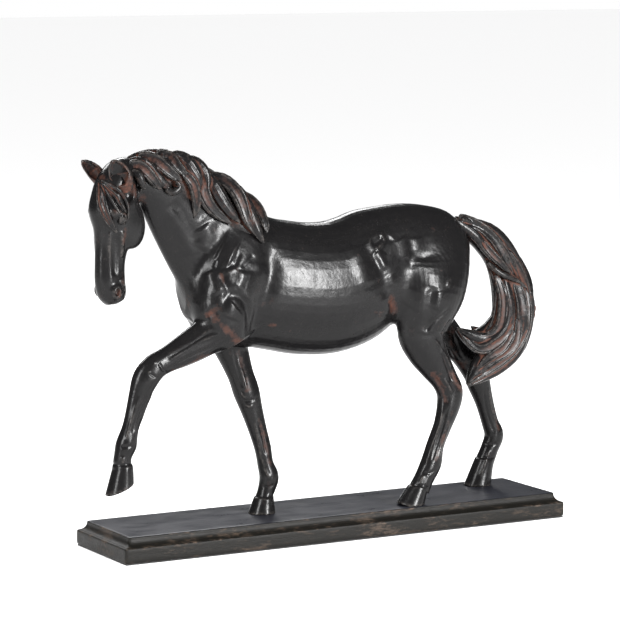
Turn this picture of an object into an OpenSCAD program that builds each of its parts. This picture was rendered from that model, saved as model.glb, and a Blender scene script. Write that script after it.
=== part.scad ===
// Striding horse statue on a moulded plinth, built as a sectional casting.
// The horse faces -X, and -Y is its near (left) side. The origin is the middle of the
// underside, on the surface that the statue stands on. All sizes are in millimetres.

/* [Plinth] */
// Length of the plinth along the horse
plinth_l = 430; // [420:1:460]
// Width of the plinth across the horse
plinth_w = 98; // [96:1:120]
// Height of the plinth casting, without the baize
plinth_h = 21; // [20:0.5:26]
// How far the moulding brings the top face in from the slab's sides
top_inset = 6.5; // [5:0.5:7.5]
// Thickness of the plinth's top plate
plate_t = 5; // [4:0.5:6]
// Thickness of the board that closes the hollow underside
board_t = 3; // [2:0.5:4]
// Thickness of the baize glued under the board and the rim
baize_t = 1; // [0.5:0.1:2]

/* [Fixings] */
// Diameter of the studs that hold the three planted hooves
stud_d = 4; // [3:0.5:5]
// Depth of each stud in its hoof
stud_depth = 12; // [8:1:14]
// Diameter of the dowels that locate the castings
dowel_d = 5; // [4:0.5:6]
// Radial clearance around a stud or dowel
hole_gap = 0.05; // [0.03:0.01:0.1]

/* [Horse] */
// Scale of the horse on its plinth
horse_scale = 1; // [0.96:0.01:1.02]
// Wall thickness of the hollow barrel
barrel_wall = 7; // [6:0.5:9]
// Turn of the head towards the near side, in degrees
head_turn = 18; // [12:1:22]
// Sides of each swept section
sides = 20; // [16:2:24]

/* [Hidden] */
$fn = 48;

deck_z = baize_t + plinth_h;          // the top face, which the hooves stand on
rim_w = top_inset + 4;                // the wall round the plinth's hollow
cavity_top = deck_z - plate_t;
boss_d = 4.5 * stud_d;
boss_h = stud_d;
washer_d = 2.4 * stud_d;
washer_t = 0.8;
nut_af = 1.75 * stud_d;
nut_h = 0.8 * stud_d;
nut_top = cavity_top - boss_h - washer_t;
stud_foot = nut_top - nut_h - 1;
stud_r = stud_d / 2;
dowel_r = dowel_d / 2;
plug_r = 8;

bronze = [0.08, 0.07, 0.065];
hair_bronze = [0.2, 0.1, 0.07];
steel = [0.62, 0.62, 0.64];

// ---------------------------------------------------------------- plinth and fixings

// one side's moulding: a short upright lip, then a hollow cove out to the slab
module cove_cut(run) {
    lip_z = deck_z - (plinth_h - slab_h - top_inset);
    translate([-run, 0, lip_z])
        rotate([0, 90, 0])
            cylinder(r = top_inset, h = 2 * run);
    translate([-run, -top_inset, lip_z])
        cube([2 * run, 2 * top_inset, plinth_h]);
}
slab_h = plinth_h - top_inset - 1.5;

module plinth() {
    color(bronze)
    difference() {
        translate([-plinth_l / 2, -plinth_w / 2, baize_t])
            cube([plinth_l, plinth_w, plinth_h]);
        for (side = [-1, 1]) {
            translate([0, side * plinth_w / 2, 0])
                cove_cut(plinth_l);
            translate([side * plinth_l / 2, 0, 0])
                rotate([0, 0, 90])
                    cove_cut(plinth_w);
        }
        difference() {
            translate([rim_w - plinth_l / 2, rim_w - plinth_w / 2, 0])
                cube([plinth_l - 2 * rim_w, plinth_w - 2 * rim_w, cavity_top]);
            for (hoof = planted)
                translate([hoof[0], hoof[1], cavity_top - boss_h])
                    cylinder(d = boss_d, h = 2 * boss_h);
        }
        for (hoof = planted)
            translate([hoof[0], hoof[1], 0])
                cylinder(r = stud_r + hole_gap, h = 2 * plinth_h);
    }
}

module base_board() {
    color([0.5, 0.36, 0.22])
        translate([rim_w - plinth_l / 2 + 0.3, rim_w - plinth_w / 2 + 0.3, baize_t])
            cube([plinth_l - 2 * rim_w - 0.6, plinth_w - 2 * rim_w - 0.6, board_t]);
}

module baize_cover() {
    color([0.05, 0.05, 0.05])
        translate([1 - plinth_l / 2, 1 - plinth_w / 2, 0])
            cube([plinth_l - 2, plinth_w - 2, baize_t]);
}

module hoof_studs() {
    color(steel)
        for (hoof = planted)
            translate([hoof[0], hoof[1], stud_foot])
                cylinder(r = stud_r, h = deck_z + stud_depth - stud_foot);
}

module stud_washers() {
    color(steel)
        for (hoof = planted)
            translate([hoof[0], hoof[1], nut_top])
                difference() {
                    cylinder(d = washer_d, h = washer_t);
                    translate([0, 0, -1])
                        cylinder(r = stud_r + 0.15, h = washer_t + 2);
                }
}

module stud_nuts() {
    color(steel)
        for (hoof = planted)
            translate([hoof[0], hoof[1], nut_top - nut_h])
                difference() {
                    cylinder(d = nut_af / cos(30), h = nut_h, $fn = 6);
                    translate([0, 0, -1])
                        cylinder(r = stud_r + hole_gap, h = nut_h + 2);
                }
}

// ---------------------------------------------------------------- swept castings
// A station is [x, y, z, r, s]: a point on the axis, with z above the plinth's top face,
// the section's radius in the limb's own plane, and its radius across the horse.

function unit(v) = v / norm(v);
function spot(p) = [p[0], p[1], p[2]];
function heading(path, i) =
    unit(spot(path[min(i + 1, len(path) - 1)]) - spot(path[max(i - 1, 0)]));
function ring(path, i, n, across) =
    let (
        t = heading(path, i),
        s = unit(across - t * (across * t)),
        r = cross(t, s)
    )
    [for (k = [0 : n - 1])
        let (a = 360 * k / n)
        spot(path[i]) + r * path[i][3] * cos(a) + s * path[i][4] * sin(a)];

// a smooth curve through four stations, from b at t = 0 to c at t = 1
function blend(a, b, c, d, t) =
    (2 * b + (c - a) * t + (2 * a - 5 * b + 4 * c - d) * t * t
        + (3 * b - a - 3 * c + d) * t * t * t) / 2;
function fair(path, steps) =
    let (last = len(path) - 1)
    [for (i = [0 : last - 1], j = [0 : steps - 1])
        blend(path[max(i - 1, 0)], path[i], path[i + 1], path[min(i + 2, last)], j / steps),
     path[last]];

module sweep(stations, n = sides, across = [0, 1, 0], steps = 2) {
    path = fair(stations, steps);
    last = len(path) - 1;
    points = [for (i = [0 : last]) each ring(path, i, n, across)];
    walls = [for (i = [0 : last - 1], k = [0 : n - 1])
        let (a = i * n + k, b = i * n + (k + 1) % n)
        each [[a, b, b + n], [a, b + n, a + n]]];
    first_end = [[for (k = [n - 1 : -1 : 0]) k]];
    last_end = [[for (k = [0 : n - 1]) last * n + k]];
    translate([0, 0, deck_z])
        scale(horse_scale)
            polyhedron(points, concat(first_end, walls, last_end));
}

// the same path made thinner by a wall, without its first and last stations
function hollow(path, wall) =
    [for (i = [1 : len(path) - 2])
        let (p = path[i])
        [p[0], p[1], p[2], p[3] - wall, p[4] - wall]];

// a dowel, or with a gap its hole: [base point, tip point]
module pin(ends, gap = 0) {
    axis = unit(ends[1] - ends[0]);
    tilt = acos(axis[2]);
    turn = atan2(axis[1], axis[0]);
    translate([0, 0, deck_z])
        scale(horse_scale)
            translate(ends[0] - axis * 4 * gap)
                rotate([0, tilt, turn])
                    cylinder(r = dowel_r + gap, h = norm(ends[1] - ends[0]) + 8 * gap);
}

module below_deck() {
    translate([-plinth_l, -plinth_w, deck_z - 3 * plinth_h])
        cube([2 * plinth_l, 2 * plinth_w, 3 * plinth_h]);
}

module stud_hole(hoof) {
    translate([hoof[0], hoof[1], deck_z - 1])
        cylinder(r = stud_r + hole_gap, h = stud_depth + 1.5);
}

// ---- stations ----
torso = [
    [-132, -1, 186, 24, 13], [-122, -1, 193, 36, 22], [-105, -1, 199, 47, 29],
    [-82, -1, 202, 54, 33], [-55, -1, 198, 54, 35], [-27, -1, 194, 54.5, 36],
    [2, -1, 194, 55, 37], [26, -1, 200, 52, 36], [47, -1, 209, 49, 35],
    [72, -1, 214, 46, 34], [97, -1, 212, 44, 32], [120, -1, 208, 38, 26],
    [134, -1, 206, 24, 14]
];
near_shoulder = [
    [-86, -14, 232, 16, 10], [-98, -17, 212, 24, 16], [-108, -19, 190, 28, 19],
    [-108, -20, 168, 25, 18], [-102, -20, 152, 17, 14]
];
off_shoulder = [
    [-84, 12, 232, 16, 10], [-94, 15, 212, 24, 16], [-102, 17, 190, 28, 19],
    [-98, 18, 165, 22, 17], [-92, 17, 148, 16, 13]
];
near_thigh = [
    [84, -12, 228, 24, 13], [95, -16, 210, 36, 20], [93, -19, 188, 35, 22],
    [87, -21, 168, 29, 20], [84, -22, 152, 23, 17]
];
off_thigh = [
    [86, 10, 228, 24, 13], [97, 14, 208, 36, 20], [105, 17, 184, 33, 22],
    [110, 19, 164, 26, 19], [119, 20, 150, 19, 15]
];
neck_path = [
    [-88, -1, 212, 42, 26], [-100, -1, 228, 45, 25], [-119, -3, 250, 40, 19],
    [-138, -6, 266, 34, 16], [-157, -10, 280, 28, 14], [-174, -13, 288, 22, 13],
    [-188, -15, 288, 18, 12]
];
head_path = [
    [-194, -15, 303, 12, 12], [-203, -16, 293, 19, 16], [-207, -17, 276, 24, 18],
    [-206, -18, 256, 25, 17], [-208, -18, 240, 20, 13], [-211, -19, 222, 14, 11],
    [-211, -19, 207, 13.5, 11.5], [-209, -19, 198, 12, 10], [-207, -19, 194, 7, 6]
];
near_ear_path = [
    [-188, -27, 287, 6, 5], [-192, -29, 295, 8, 6], [-198, -31, 302, 7, 4],
    [-204, -32, 307, 3, 1.6]
];
off_ear_path = [
    [-202, -7, 292, 6, 5], [-209, -6, 298, 8, 6], [-219, -5, 302, 6, 4],
    [-229, -4, 305, 2, 1.4]
];
forelock_path = [
    [-188, -17, 308, 5, 8], [-201, -19, 304, 6, 10], [-213, -23, 292, 6, 10],
    [-220, -26, 276, 6, 9], [-222, -27, 262, 3, 4]
];
mane_path = [
    [-194, -17, 300, 10, 9], [-182, -18, 299, 15, 10], [-163, -17, 295, 21, 11],
    [-144, -14, 289, 23, 12], [-126, -11, 279, 23, 12], [-108, -10, 266, 20, 13],
    [-93, -13, 253, 17, 14], [-80, -17, 242, 13, 12], [-70, -20, 231, 7, 6]
];
tail_path = [
    [134, -2, 232, 7, 7], [146, -3, 237, 9, 10], [160, -4, 228, 13, 11],
    [172, -5, 211, 13, 12], [180, -6, 190, 16, 13], [185, -7, 168, 19, 13],
    [183, -8, 148, 19, 13], [175, -9, 131, 19, 12], [162, -10, 119, 19, 11],
    [150, -11, 112, 17, 9], [141, -13, 105, 11, 7], [136, -15, 99, 4, 4]
];
near_fore_path = [
    [-104, -20, 164, 16, 12], [-118, -21, 160, 16, 13], [-133, -21, 153, 13.5, 12],
    [-148, -21, 146, 11.5, 10], [-164, -21, 139, 9.5, 8.5], [-174, -21, 134, 10.5, 9.5],
    [-181, -21, 126, 10.5, 9.5], [-186, -21, 113, 8.5, 8], [-192, -21, 100, 7.5, 7],
    [-197, -21, 88, 7.5, 7], [-201, -21, 74, 9.5, 8], [-204, -21, 63, 8, 7.5],
    [-204, -21, 54, 10, 9.5], [-206, -21, 36, 11.5, 11]
];
off_fore_path = [
    [-94, 17, 168, 17, 13], [-92, 16, 155, 15, 13], [-85, 13, 137, 12.5, 11.5],
    [-79, 10, 119, 10.5, 10], [-74, 8, 104, 10.5, 10], [-70, 6, 88, 8.8, 8.5],
    [-66, 4, 71, 6.8, 7], [-62, 2, 55, 6.3, 6.5], [-59, 1, 42, 7, 7],
    [-56, 0, 30, 8.5, 8], [-59, 0, 17, 7.5, 7.5], [-61.5, -1, 8, 9.5, 9.5],
    [-62.5, -1, -4, 12.5, 12]
];
near_hind_path = [
    [82, -22, 166, 18, 12], [82, -23, 150, 21, 15], [87, -24, 135, 17.5, 14],
    [96, -25, 120, 14.5, 12], [104, -26, 106, 12.5, 10], [109, -26, 95, 12.5, 10],
    [108, -27, 85, 11, 9.5], [101, -28, 67, 8.4, 8], [93, -28, 50, 8, 7.5],
    [88, -29, 35, 9.5, 8.5], [81, -30, 22, 9, 8.5], [74, -30, 10, 10.5, 10],
    [67, -30, -4, 13.5, 13]
];
off_hind_path = [
    [110, 19, 164, 18, 12], [121, 20, 151, 17, 13.5], [136, 21, 137, 14.5, 12],
    [151, 21, 121, 12, 10.5], [165, 22, 104, 12.5, 10], [169, 22, 93, 11.5, 9.5],
    [175, 22, 75, 8.8, 8], [181, 22, 56, 8, 7.5], [185, 22, 44, 9, 8.5],
    [181, 22, 32, 8.5, 8], [175, 22, 18, 9.5, 9.5], [169, 22, -4, 13, 12.5]
];

planted = [
    [off_fore_path[12][0], off_fore_path[12][1]] * horse_scale,
    [near_hind_path[12][0], near_hind_path[12][1]] * horse_scale,
    [off_hind_path[11][0], off_hind_path[11][1]] * horse_scale
];
head_across = [-sin(head_turn), cos(head_turn), 0];

neck_pin = [[-88, -2, 232], [-116, -3, 266]];
head_pin = [[-180, -14, 284], [-204, -17, 278]];
tail_pin = [[116, -2, 230], [140, -3, 236]];
near_fore_pin = [[-98, -19, 165], [-132, -21, 154]];
off_fore_pin = [[-96, 17, 168], [-87, 14, 140]];
near_hind_pin = [[80, -21, 166], [86, -24, 133]];
off_hind_pin = [[104, 19, 168], [130, 20.5, 142]];

// ---- the castings' outer forms, before coping and boring ----
module body_form() {
    union() {
        sweep(torso, 28);
        sweep(near_shoulder);
        sweep(off_shoulder);
        sweep(near_thigh);
        sweep(off_thigh);
    }
}
module neck_form() { sweep(neck_path, 24); }
module head_form() { sweep(head_path, 24, head_across); }
module mane_form() { sweep(mane_path); }
module near_fore_form() { sweep(near_fore_path); }
module near_hind_form() { sweep(near_hind_path); }
module off_hind_form() { sweep(off_hind_path); }

module body() {
    color(bronze)
    difference() {
        body_form();
        sweep(hollow(torso, barrel_wall), 28);
        core_hole(plug_r + hole_gap);
        pin(neck_pin, hole_gap);
        pin(tail_pin, hole_gap);
        pin(near_fore_pin, hole_gap);
        pin(off_fore_pin, hole_gap);
        pin(near_hind_pin, hole_gap);
        pin(off_hind_pin, hole_gap);
    }
}

// the core's way out under the belly, and the plug that closes it
module core_hole(r) {
    translate([-10, 0, deck_z + horse_scale * 130])
        cylinder(r = r, h = 30);
}

module core_plug() {
    color(bronze)
    translate([-10, 0, deck_z + horse_scale * 140])
        cylinder(r = plug_r, h = 5);
}

module neck() {
    color(bronze)
    difference() {
        neck_form();
        body_form();
        pin(neck_pin, hole_gap);
        pin(head_pin, hole_gap);
    }
}

module head() {
    color(bronze)
    difference() {
        head_form();
        neck_form();
        pin(head_pin, hole_gap);
    }
}

module near_ear() {
    color(bronze)
    difference() {
        sweep(near_ear_path, 16);
        head_form();
        neck_form();
    }
}

module off_ear() {
    color(bronze)
    difference() {
        sweep(off_ear_path, 16);
        head_form();
        neck_form();
    }
}

module forelock() {
    color(hair_bronze)
    difference() {
        sweep(forelock_path);
        head_form();
        neck_form();
        sweep(near_ear_path, 16);
        sweep(off_ear_path, 16);
    }
}

module mane() {
    color(hair_bronze)
    difference() {
        mane_form();
        body_form();
        neck_form();
        head_form();
        sweep(near_ear_path, 16);
        sweep(off_ear_path, 16);
        sweep(forelock_path);
    }
}

module tail() {
    color(hair_bronze)
    difference() {
        sweep(tail_path);
        body_form();
        near_hind_form();
        off_hind_form();
        pin(tail_pin, hole_gap);
    }
}

module near_fore_leg() {
    color(bronze)
    difference() {
        near_fore_form();
        body_form();
        pin(near_fore_pin, hole_gap);
    }
}

module off_fore_leg() {
    color(bronze)
    difference() {
        sweep(off_fore_path);
        body_form();
        pin(off_fore_pin, hole_gap);
        below_deck();
        stud_hole(planted[0]);
    }
}

module near_hind_leg() {
    color(bronze)
    difference() {
        near_hind_form();
        body_form();
        pin(near_hind_pin, hole_gap);
        below_deck();
        stud_hole(planted[1]);
    }
}

module off_hind_leg() {
    color(bronze)
    difference() {
        off_hind_form();
        body_form();
        pin(off_hind_pin, hole_gap);
        below_deck();
        stud_hole(planted[2]);
    }
}

module neck_dowel() { color(steel) pin(neck_pin); }
module head_dowel() { color(steel) pin(head_pin); }
module tail_dowel() { color(steel) pin(tail_pin); }
module near_fore_dowel() { color(steel) pin(near_fore_pin); }
module off_fore_dowel() { color(steel) pin(off_fore_pin); }
module near_hind_dowel() { color(steel) pin(near_hind_pin); }
module off_hind_dowel() { color(steel) pin(off_hind_pin); }

plinth();
base_board();
baize_cover();
hoof_studs();
stud_washers();
stud_nuts();
body();
core_plug();
neck();
head();
near_ear();
off_ear();
forelock();
mane();
tail();
near_fore_leg();
off_fore_leg();
near_hind_leg();
off_hind_leg();
neck_dowel();
head_dowel();
tail_dowel();
near_fore_dowel();
off_fore_dowel();
near_hind_dowel();
off_hind_dowel();
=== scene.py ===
import math
import bpy
import numpy as np
import openvdb
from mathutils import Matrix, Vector


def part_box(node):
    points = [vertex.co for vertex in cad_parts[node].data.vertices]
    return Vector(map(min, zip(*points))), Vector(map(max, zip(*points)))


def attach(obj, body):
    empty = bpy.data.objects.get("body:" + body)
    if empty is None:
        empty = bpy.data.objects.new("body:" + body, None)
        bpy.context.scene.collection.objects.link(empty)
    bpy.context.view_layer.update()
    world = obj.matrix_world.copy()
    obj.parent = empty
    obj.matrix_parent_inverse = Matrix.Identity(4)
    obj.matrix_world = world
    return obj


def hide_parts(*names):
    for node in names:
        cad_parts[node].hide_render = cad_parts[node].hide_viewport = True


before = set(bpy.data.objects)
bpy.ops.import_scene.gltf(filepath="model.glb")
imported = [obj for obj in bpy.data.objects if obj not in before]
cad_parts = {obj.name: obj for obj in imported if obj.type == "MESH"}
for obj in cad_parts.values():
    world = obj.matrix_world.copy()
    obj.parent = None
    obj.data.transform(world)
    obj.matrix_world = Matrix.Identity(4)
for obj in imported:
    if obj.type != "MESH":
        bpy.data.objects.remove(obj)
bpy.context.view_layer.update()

# ---------------------------------------------------------------- driving sizes
# Stations and strokes below are in millimetres on a 430 mm plinth, with z above its top
# face. They are scaled to the plinth that the frame really has.

plinth_low, plinth_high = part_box("plinth")
plinth_length = plinth_high[0] - plinth_low[0]
plinth_width = plinth_high[1] - plinth_low[1]
deck = plinth_high[2]
unit = plinth_length / 0.430
skin_step = 0.75
hair_step = 0.5


# ---------------------------------------------------------------- camera
def make_camera():
    """A long lens, turned to the near side and a little above the middle of the horse."""
    azimuth = math.radians(-28.94)
    elevation = math.radians(7.14)
    distance = 5.975 * plinth_length
    target = Vector((-0.0367 * plinth_length, 0.0, 0.451 * plinth_length))
    towards = Vector((
        math.sin(azimuth) * math.cos(elevation),
        -math.cos(azimuth) * math.cos(elevation),
        math.sin(elevation),
    ))
    data = bpy.data.cameras.new("camera")
    data.sensor_width = 36.0
    data.lens = 174.2
    data.clip_start = 0.05
    data.clip_end = 50.0
    camera = bpy.data.objects.new("camera", data)
    camera.location = target + towards * distance
    camera.rotation_euler = towards.to_track_quat("Z", "Y").to_euler()
    bpy.context.scene.collection.objects.link(camera)
    bpy.context.scene.camera = camera


make_camera()


# ---------------------------------------------------------------- voxel clay
FAR = 30.0    # the distance held by a voxel that no shape has reached


def polyline(points, steps):
    """Points of a smooth curve through the given rows, Catmull-Rom, steps per span."""
    rows = np.array(points, float)
    last = len(rows) - 1
    out = []
    for i in range(last):
        a = rows[max(i - 1, 0)]
        b = rows[i]
        c = rows[i + 1]
        d = rows[min(i + 2, last)]
        for j in range(steps):
            t = j / steps
            out.append((
                2 * b + (c - a) * t + (2 * a - 5 * b + 4 * c - d) * t * t
                + (3 * b - a - 3 * c + d) * t * t * t
            ) / 2)
    out.append(rows[last])
    return np.array(out)


def loft_mesh(stations, across=(0, 1, 0), sides=48, steps=4, power=2.0):
    """A closed tube through stations (x, y, z, r_plus, r_minus, r_across)."""
    rows = polyline(stations, steps)
    centres = rows[:, :3]
    ahead = np.gradient(centres, axis=0)
    ahead /= np.linalg.norm(ahead, axis=1)[:, None]
    side = np.array(across, float)[None, :] - ahead * (ahead @ np.array(across, float))[:, None]
    side /= np.linalg.norm(side, axis=1)[:, None]
    up = np.cross(ahead, side)
    angle = 2 * np.pi * np.arange(sides) / sides
    cu = np.sign(np.cos(angle)) * np.abs(np.cos(angle)) ** (2 / power)
    cs = np.sign(np.sin(angle)) * np.abs(np.sin(angle)) ** (2 / power)
    radius = np.where(cu[None, :] > 0, rows[:, 3:4], rows[:, 4:5])
    points = (
        centres[:, None, :]
        + up[:, None, :] * (radius * cu[None, :])[:, :, None]
        + side[:, None, :] * (rows[:, 5:6] * cs[None, :])[:, :, None]
    ).reshape(-1, 3)
    count = len(rows)
    i, k = np.meshgrid(np.arange(count - 1), np.arange(sides), indexing="ij")
    a = i * sides + k
    b = i * sides + (k + 1) % sides
    quads = np.stack([a, b, b + sides, a + sides], -1).reshape(-1, 4)
    points = np.vstack([points, centres[0], centres[-1]])
    k = np.arange(sides)
    start = np.stack([np.full(sides, count * sides), (k + 1) % sides, k], -1)
    base = (count - 1) * sides
    end = np.stack([np.full(sides, count * sides + 1), base + k, base + (k + 1) % sides], -1)
    return points, quads, np.vstack([start, end])


class Clay:
    """A block of voxels that holds the signed distance to a sculpted surface."""

    def __init__(self, low, high, step, band=2.0):
        self.low = np.array(low, float)
        self.step = step
        self.band = band
        self.shape = tuple(int(math.ceil((high[i] - low[i]) / step)) + 1 for i in range(3))
        self.f = np.full(self.shape, FAR, np.float32)

    def window(self, low, high):
        """The voxels within a box, and their x, y and z; None if the box is outside."""
        first = [max(0, int((low[i] - self.low[i]) / self.step)) for i in range(3)]
        last = [
            min(self.shape[i], int((high[i] - self.low[i]) / self.step) + 2) for i in range(3)
        ]
        if any(last[i] <= first[i] for i in range(3)):
            return None
        part = tuple(slice(first[i], last[i]) for i in range(3))
        axes = [
            (self.low[i] + self.step * np.arange(first[i], last[i])).astype(np.float32)
            for i in range(3)
        ]
        return part, axes[0][:, None, None], axes[1][None, :, None], axes[2][None, None, :]

    def merge(self, part, d, blend, carve=False):
        """Adds or carves a shape, given its distances d, with the join rounded over blend."""
        sign = -1 if carve else 1
        old = sign * self.f[part]
        h = np.maximum(blend - np.abs(old - d), 0) / max(blend, 1e-6)
        self.f[part] = sign * (np.minimum(old, d) - h * h * h * (blend / 6))

    def mesh(self, points, quads, tris, blend=0.0, carve=False):
        reach = max(blend, self.band) + 3 * self.step
        low = points.min(0) - reach
        high = points.max(0) + reach
        found = self.window(low, high)
        if found is None:
            return
        part = found[0]
        shift = self.low + self.step * np.array([s.start for s in part])
        local = ((points - shift) / self.step).astype(np.float32)
        grid = openvdb.FloatGrid.createLevelSetFromPolygons(
            local, triangles=tris.astype(np.uint32), quads=quads.astype(np.uint32),
            halfWidth=float(reach / self.step),
        )
        d = np.empty([s.stop - s.start for s in part], np.float32)
        grid.copyToArray(d)
        self.merge(part, d * self.step, blend, carve)

    def loft(self, stations, blend=4.0, carve=False, **shape):
        points, quads, tris = loft_mesh(stations, **shape)
        self.mesh(points, quads, tris, blend, carve)

    def ball(self, centre, radii, blend=3.0, turn=None, carve=False):
        """An ellipsoid; turn is a 3 by 3 array whose rows are its own axes."""
        radii = np.array(radii, float)
        reach = radii.max() + blend + 1
        found = self.window(np.array(centre) - reach, np.array(centre) + reach)
        if found is None:
            return
        part, x, y, z = found
        p = [x - centre[0], y - centre[1], z - centre[2]]
        if turn is not None:
            p = [turn[i][0] * p[0] + turn[i][1] * p[1] + turn[i][2] * p[2] for i in range(3)]
        q0 = np.sqrt(sum((p[i] / radii[i]) ** 2 for i in range(3)))
        q1 = np.sqrt(sum((p[i] / radii[i] ** 2) ** 2 for i in range(3)))
        self.merge(part, q0 * (q0 - 1) / np.maximum(q1, 1e-6), blend, carve)

    def stroke(self, points, width, height, steps=4, taper=True):
        """Raises (or with a negative height sinks) the surface along a smooth path."""
        path = polyline(points, steps)
        reach = 3.0 * width
        found = self.window(path.min(0) - reach, path.max(0) + reach)
        if found is None:
            return
        part, x, y, z = found
        best = np.full([s.stop - s.start for s in part], 9.0 * width * width, np.float32)
        along = np.zeros(best.shape, np.float32)
        pieces = len(path) - 1
        for i in range(pieces):
            a = path[i]
            ab = path[i + 1] - a
            size = max(float(ab @ ab), 1e-9)
            t = ((x - a[0]) * ab[0] + (y - a[1]) * ab[1] + (z - a[2]) * ab[2]) / size
            t = np.clip(t, 0, 1)
            d2 = (
                (x - a[0] - t * ab[0]) ** 2 + (y - a[1] - t * ab[1]) ** 2
                + (z - a[2] - t * ab[2]) ** 2
            )
            nearer = d2 < best
            best = np.where(nearer, d2, best)
            along = np.where(nearer, (i + t) / pieces, along)
        lift = height * np.exp(-best / (0.9 * width * width))
        if taper:
            lift = lift * np.clip(4 * along * (1 - along) * 1.6, 0, 1)
        self.f[part] -= lift.astype(np.float32)

    def sample(self, points, values=None):
        """The distance (or another value) at any points, between the voxels' own."""
        values = self.f if values is None else values
        q = (points - self.low) / self.step
        q = np.clip(q, 0, np.array(self.shape) - 1.001)
        i = q.astype(int)
        t = (q - i).astype(np.float32)
        out = np.zeros(len(points), np.float32)
        for dx in (0, 1):
            for dy in (0, 1):
                for dz in (0, 1):
                    w = (
                        (t[:, 0] if dx else 1 - t[:, 0])
                        * (t[:, 1] if dy else 1 - t[:, 1])
                        * (t[:, 2] if dz else 1 - t[:, 2])
                    )
                    out += w * values[i[:, 0] + dx, i[:, 1] + dy, i[:, 2] + dz]
        return out

    def skin_y(self, x, z, side):
        """Where the surface lies across the horse at x and z: side is -1 near, 1 off."""
        i = int(round((x - self.low[0]) / self.step))
        k = int(round((z - self.low[2]) / self.step))
        i = min(max(i, 0), self.shape[0] - 1)
        k = min(max(k, 0), self.shape[2] - 1)
        column = self.f[i, :, k]
        inside = np.nonzero(column < 0)[0]
        if len(inside) == 0:
            inside = np.array([int(np.argmin(column))])
        j = inside[0] if side < 0 else inside[-1]
        return self.low[1] + self.step * j

    def on_skin(self, path, side):
        """Turns (x, z) pairs into points on the near or off surface."""
        return [(x, self.skin_y(x, z, side), z) for x, z in path]

    def surface(self):
        """The skin as points, triangles and quads, drawn on to distance zero."""
        grid = openvdb.FloatGrid(FAR)
        grid.copyFromArray(self.f)
        points, tris, quads = grid.convertToPolygons(isovalue=0.0, adaptivity=0.0)
        points = points.astype(float) * self.step + self.low
        for _ in range(2):
            g = self.slope(points)
            size = np.maximum((g * g).sum(1), 0.05)
            points -= g * (np.clip(self.sample(points), -0.5, 0.5) / size)[:, None]
        return points, tris, quads

    def slope(self, points):
        e = self.step
        out = np.empty((len(points), 3))
        for axis in range(3):
            offset = np.zeros(3)
            offset[axis] = e
            out[:, axis] = (self.sample(points + offset) - self.sample(points - offset)) / (2 * e)
        return out

    def normals(self, points):
        out = self.slope(points)
        return out / np.maximum(np.linalg.norm(out, axis=1), 1e-9)[:, None]

    def hollows(self, points, reach):
        """How hollow the surface is at each point: above 0 in creases, below 0 on ridges."""
        blurred = self.f
        radius = max(1, int(round(reach / self.step)))
        for axis in range(3):
            total = np.cumsum(blurred, axis=axis, dtype=np.float64)
            size = blurred.shape[axis]
            high = np.minimum(np.arange(size) + radius, size - 1)
            low = np.arange(size) - radius - 1
            upper = np.take(total, high, axis=axis)
            lower = np.take(total, np.maximum(low, 0), axis=axis)
            shape = [1, 1, 1]
            shape[axis] = size
            lower = lower * (low >= 0).reshape(shape)
            count = (high - np.maximum(low, -1)).reshape(shape)
            blurred = ((upper - lower) / count).astype(np.float32)
        return (self.sample(points) - self.sample(points, blurred)) / reach


# ---------------------------------------------------------------- mesh helpers
def to_metres(points):
    out = np.array(points, float) * 0.001 * unit
    out[:, 2] += deck
    return out


def build_object(name, points, quads, tris, attributes=None, normals=None, caps=0):
    """A Blender mesh object from numpy arrays in millimetres. The last caps triangles are flat."""
    mesh = bpy.data.meshes.new(name)
    points = to_metres(points)
    quads = np.asarray(quads, np.int64).reshape(-1, 4)
    tris = np.asarray(tris, np.int64).reshape(-1, 3)
    mesh.vertices.add(len(points))
    mesh.vertices.foreach_set("co", points.astype(np.float32).ravel())
    loops = np.concatenate([quads.ravel(), tris.ravel()])
    mesh.loops.add(len(loops))
    mesh.loops.foreach_set("vertex_index", loops.astype(np.int32))
    counts = np.concatenate([np.full(len(quads), 4), np.full(len(tris), 3)])
    starts = np.concatenate([[0], np.cumsum(counts)[:-1]])
    mesh.polygons.add(len(counts))
    mesh.polygons.foreach_set("loop_start", starts.astype(np.int32))
    mesh.polygons.foreach_set("loop_total", counts.astype(np.int32))
    smooth = np.ones(len(counts), bool)
    smooth[len(counts) - caps:] = False
    mesh.polygons.foreach_set("use_smooth", smooth)
    for key, values in (attributes or {}).items():
        layer = mesh.attributes.new(key, "FLOAT", "POINT")
        layer.data.foreach_set("value", np.asarray(values, np.float32))
    mesh.update(calc_edges=True)
    if normals is not None:
        corner = normals[loops]
        if caps:
            flat = tris[len(tris) - caps:]
            ends = np.empty(2 * len(mesh.edges), np.int32)
            mesh.edges.foreach_get("vertices", ends)
            ends = np.sort(ends.reshape(-1, 2), axis=1).astype(np.int64)
            rim = np.sort(flat[:, 1:], axis=1)
            size = len(points)
            sharp = np.isin(ends[:, 0] * size + ends[:, 1], rim[:, 0] * size + rim[:, 1])
            layer = mesh.attributes.new("sharp_edge", "BOOLEAN", "EDGE")
            layer.data.foreach_set("value", sharp)
            across = np.cross(
                points[flat[:, 1]] - points[flat[:, 0]], points[flat[:, 2]] - points[flat[:, 0]]
            )
            across /= np.maximum(np.linalg.norm(across, axis=1), 1e-12)[:, None]
            corner[len(corner) - 3 * caps:] = np.repeat(across, 3, axis=0)
        mesh.normals_split_custom_set(corner.astype(np.float32))
    obj = bpy.data.objects.new(name, mesh)
    bpy.context.scene.collection.objects.link(obj)
    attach(obj, "root")
    return obj


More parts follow.
